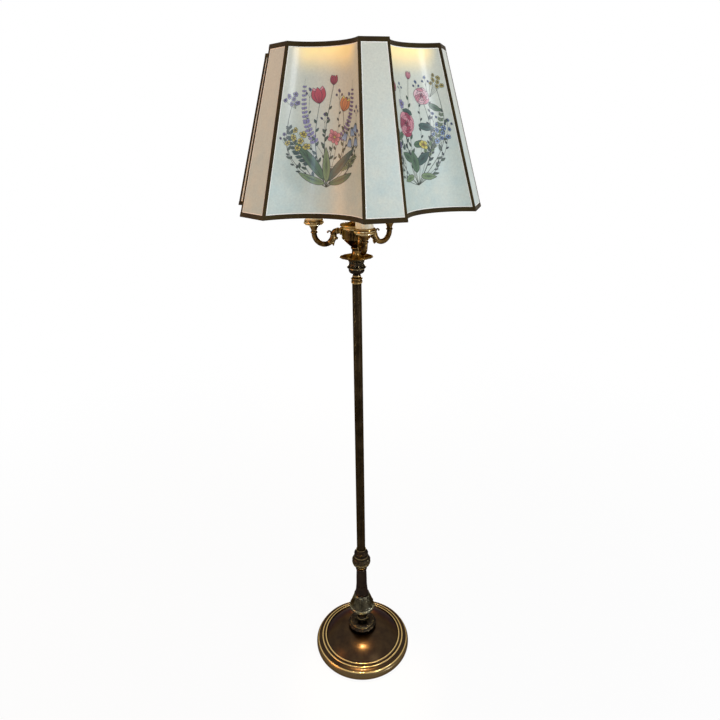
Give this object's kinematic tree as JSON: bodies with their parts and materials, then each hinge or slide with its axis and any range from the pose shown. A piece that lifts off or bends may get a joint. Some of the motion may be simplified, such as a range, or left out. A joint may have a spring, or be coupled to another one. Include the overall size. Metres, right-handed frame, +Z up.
{
  "type": "torchiere floor lamp",
  "caption": "Tall floor lamp: round weighted base, fluted post, candle arms, glass bowl and a panelled shade that lift off, bulbs and switches that turn.",
  "frame": {"origin": "on the floor, under the middle of the post", "axes": "+Z up along the post, -Y towards the viewer in front, +X to the viewer's right"},
  "size_m": [0.5706, 0.5782, 1.6078],
  "materials": {
    "antique_brass": "aged and lacquered, with bright rubbed edges",
    "gilt_brass": "rubbed bright on rims and beads",
    "dark_bronze": "dark bronze patina",
    "steel": "zinc plated",
    "iron": "rough casting, black",
    "felt": "pressed felt",
    "bushing": "moulded phenolic, matt",
    "ivory_sleeve": "ivory, satin",
    "socket_shell": "plain stamped brass",
    "porcelain": "glazed porcelain",
    "bulb_glass": "soft white bulb glass",
    "opal_glass": "white opal glass, fire polished",
    "cushion": "brown rubber",
    "wire": "brass plated steel wire",
    "parchment": "laminated parchment paper with a printed flower design, translucent",
    "tape": "dark olive ribbon tape"
  },
  "bodies": {
    "lamp": {"base_felt": "felt", "base_weight": "iron", "base_shell": "antique_brass", "base_washer": "steel", "base_nut": "steel", "cord_bushing": "bushing", "foot_collar": "gilt_brass", "neck_ball": "dark_bronze", "bell_cup": "antique_brass", "pedestal_column": "gilt_brass", "bead_collar": "gilt_brass", "main_knob": "gilt_brass", "knob_cap": "antique_brass", "post_tube": "dark_bronze", "threaded_pipe": "steel", "top_collar": "gilt_brass", "baluster": "antique_brass", "drip_pan": "gilt_brass", "cluster_body": "antique_brass", "cluster_cap": "gilt_brass", "cluster_switch": "steel", "pipe_nut": "steel", "arm_nuts": "steel", "candle_sockets": "socket_shell", "arm_1": "antique_brass", "arm_2": "antique_brass", "arm_3": "antique_brass", "candle_cup_1": "gilt_brass", "candle_cup_2": "gilt_brass", "candle_cup_3": "gilt_brass", "candle_sleeve_1": "ivory_sleeve", "candle_sleeve_2": "ivory_sleeve", "candle_sleeve_3": "ivory_sleeve", "riser": "gilt_brass", "socket_cap": "antique_brass", "mogul_socket": "porcelain", "bowl_fitter": "gilt_brass", "bowl_cushion": "cushion"},
    "bowl": {"glass_bowl": "opal_glass"},
    "shade": {"shade_frame": "wire", "hollow_panel_1": "parchment", "hollow_panel_2": "parchment", "hollow_panel_3": "parchment", "hollow_panel_4": "parchment", "hollow_panel_5": "parchment", "hollow_panel_6": "parchment", "flat_panels": "parchment", "rib_trims": "tape", "edge_trims": "tape"},
    "candle_1": {"candle_bulb_1": "bulb_glass", "candle_bulb_cap_1": "socket_shell"},
    "candle_2": {"candle_bulb_2": "bulb_glass", "candle_bulb_cap_2": "socket_shell"},
    "candle_3": {"candle_bulb_3": "bulb_glass", "candle_bulb_cap_3": "socket_shell"},
    "centre_lamp": {"centre_bulb": "bulb_glass", "centre_bulb_cap": "socket_shell"},
    "switch": {"switch_knob": "gilt_brass"},
    "key": {"turn_key": "dark_bronze"}
  },
  "joints": [
    {"name": "bowl_lift", "type": "slide", "parent": "lamp", "child": "bowl", "axis": [0, 0, 1], "range_m": [0, 0.15]},
    {"name": "shade_lift", "type": "slide", "parent": "bowl", "child": "shade", "axis": [0, 0, 1], "range_m": [0, 0.19]},
    {"name": "candle_bulb_1_turn", "type": "hinge", "parent": "lamp", "child": "candle_1", "pos_m": [0.01893, -0.10734, 1.3], "axis": [0, 0, 1], "range_deg": [0, 1440]},
    {"name": "candle_bulb_2_turn", "type": "hinge", "parent": "lamp", "child": "candle_2", "pos_m": [0.0835, 0.07006, 1.3], "axis": [0, 0, 1], "range_deg": [0, 1440]},
    {"name": "candle_bulb_3_turn", "type": "hinge", "parent": "lamp", "child": "candle_3", "pos_m": [-0.10243, 0.03728, 1.3], "axis": [0, 0, 1], "range_deg": [0, 1440]},
    {"name": "centre_bulb_turn", "type": "hinge", "parent": "lamp", "child": "centre_lamp", "pos_m": [0, 0, 1.38], "axis": [0, 0, 1], "range_deg": [0, 1440]},
    {"name": "cluster_switch_turn", "type": "hinge", "parent": "lamp", "child": "switch", "pos_m": [-0.00617, 0.03496, 1.20379], "axis": [-0.1736, 0.9848, 0], "continuous": true},
    {"name": "turn_key_turn", "type": "hinge", "parent": "lamp", "child": "key", "pos_m": [0.02819, -0.01026, 1.27179], "axis": [0.9397, -0.342, 0], "continuous": true}
  ]
}
